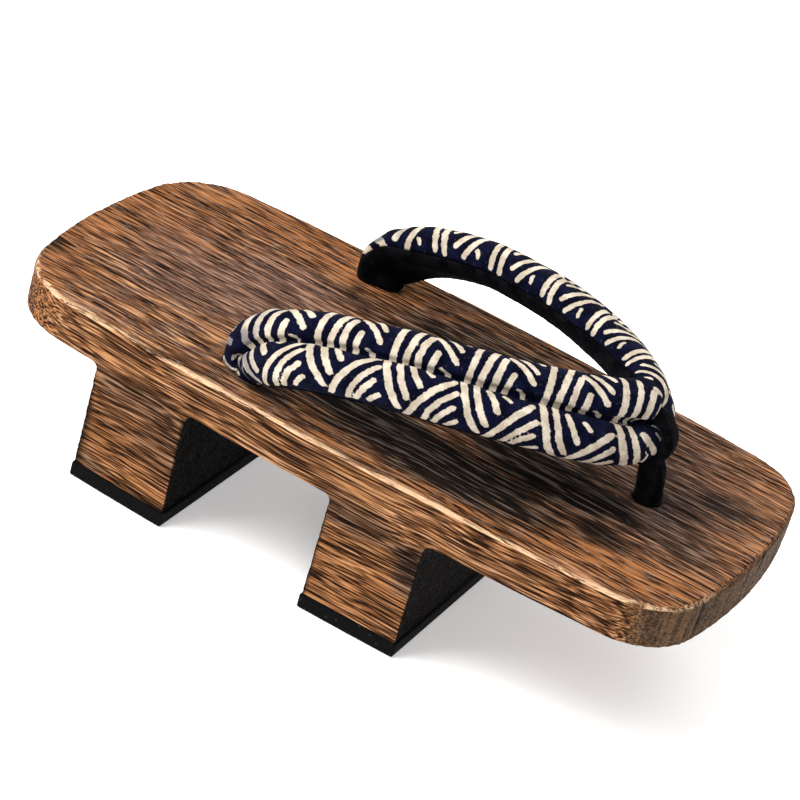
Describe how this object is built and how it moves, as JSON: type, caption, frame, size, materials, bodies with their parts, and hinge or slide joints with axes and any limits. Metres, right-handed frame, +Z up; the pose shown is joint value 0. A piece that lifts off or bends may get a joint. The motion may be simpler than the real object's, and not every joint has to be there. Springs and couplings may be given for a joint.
{
  "type": "geta sandal",
  "caption": "Wooden clog sandal: a brushed, burnt board on a front and a rear tooth with rubber treads, and a padded patterned thong strap.",
  "frame": {"origin": "on the floor under the middle of the board", "axes": "+X towards the toe, +Y to the wearer's left, +Z up from the floor"},
  "size_m": [0.25, 0.1192, 0.0959],
  "materials": {
    "wood": "burnt and brushed softwood, dark soft grain and raised tan ridges, thin wax sheen",
    "rubber": "matte black moulded tread rubber",
    "cloth": "matte navy woven cotton with cream brushed strokes, over soft padding",
    "velvet": "deep black velvet with a short nap",
    "cord": "matte black twisted cord"
  },
  "bodies": {
    "root": {"wood_base": "wood", "rear_tooth_pad": "rubber", "front_tooth_pad": "rubber", "strap_band": "cloth", "strap_lining": "velvet", "front_thong": "velvet", "knot_left": "cord", "knot_right": "cord", "knot_front": "cord"}
  },
  "joints": []
}
